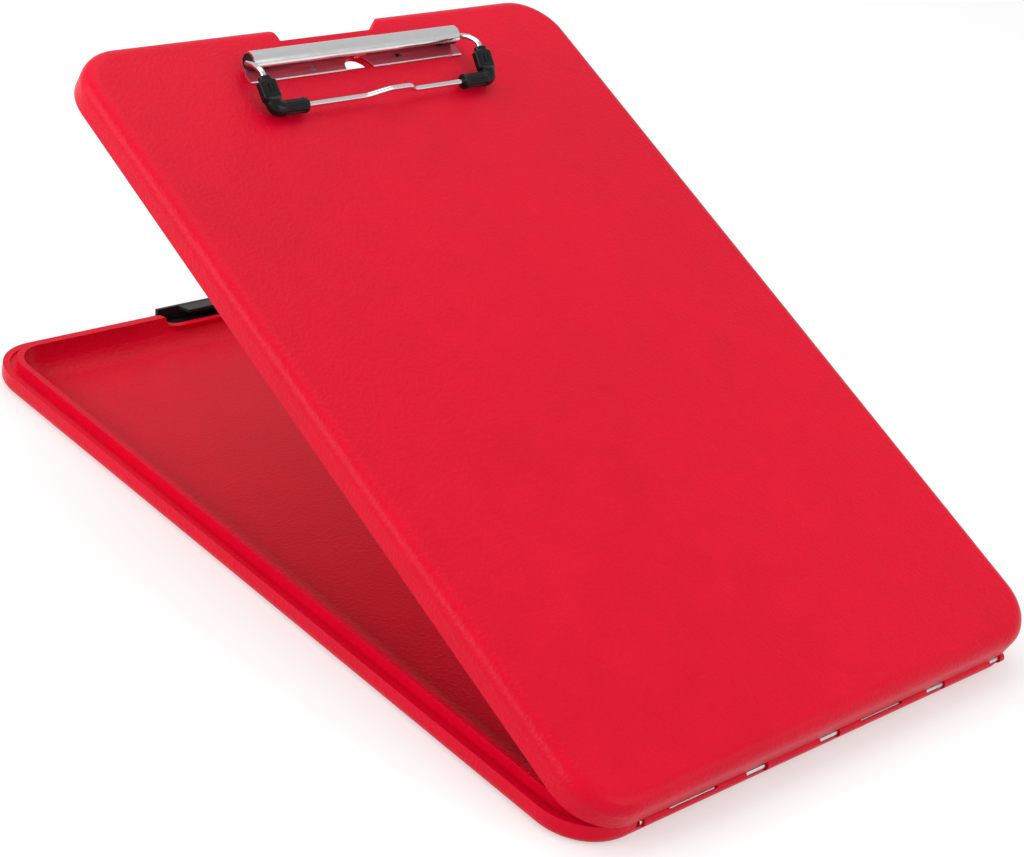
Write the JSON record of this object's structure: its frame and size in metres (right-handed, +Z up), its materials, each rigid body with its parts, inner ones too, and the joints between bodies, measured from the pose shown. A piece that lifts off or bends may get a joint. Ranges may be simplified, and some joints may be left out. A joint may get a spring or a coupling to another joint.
{
  "type": "storage clipboard box",
  "caption": "Hinged plastic clipboard box: shallow tray, deeper lid on a steel rod hinge, flip latch, and a low wire clip with rubber corner grips on the lid.",
  "frame": {"origin": "centre of the tray's flat underside, on the surface it stands on", "axes": "+Z up, +Y from the hinge to the latch, +X to the right as seen from the hinge side; the hinge rod lies along X"},
  "size_m": [0.2414, 0.3485, 0.1477],
  "materials": {
    "body_plastic": "fine matte grain, red",
    "black_plastic": "satin black",
    "plated_steel": "bright nickel plate",
    "steel": "plain bright steel",
    "rubber": "satin moulded rubber"
  },
  "bodies": {
    "tray": {"base_tray": "body_plastic", "hinge_rod": "steel"},
    "lid": {"lid": "body_plastic", "clip_plate": "plated_steel", "clip_rivets": "steel", "rivet_washers": "steel", "left_bushing": "black_plastic", "right_bushing": "black_plastic"},
    "latch": {"latch": "black_plastic"},
    "bail": {"wire_bail": "plated_steel", "left_grip": "rubber", "right_grip": "rubber"}
  },
  "joints": [
    {"name": "lid_hinge", "type": "hinge", "parent": "tray", "child": "lid", "pos_m": [0, -0.17095, 0.0054], "axis": [1, 0, 0], "range_deg": [-22, 94]},
    {"name": "latch_pivot", "type": "hinge", "parent": "tray", "child": "latch", "pos_m": [0, 0.1676, 0.0034], "axis": [1, 0, 0], "range_deg": [-52, 12]},
    {"name": "bail_pivot", "type": "hinge", "parent": "lid", "child": "bail", "pos_m": [0, 0.1198, 0.14347], "axis": [-1, 0, 0], "range_deg": [0, 100], "stiffness_Nm_per_rad": 0.05, "springref_deg": -57.3}
  ]
}
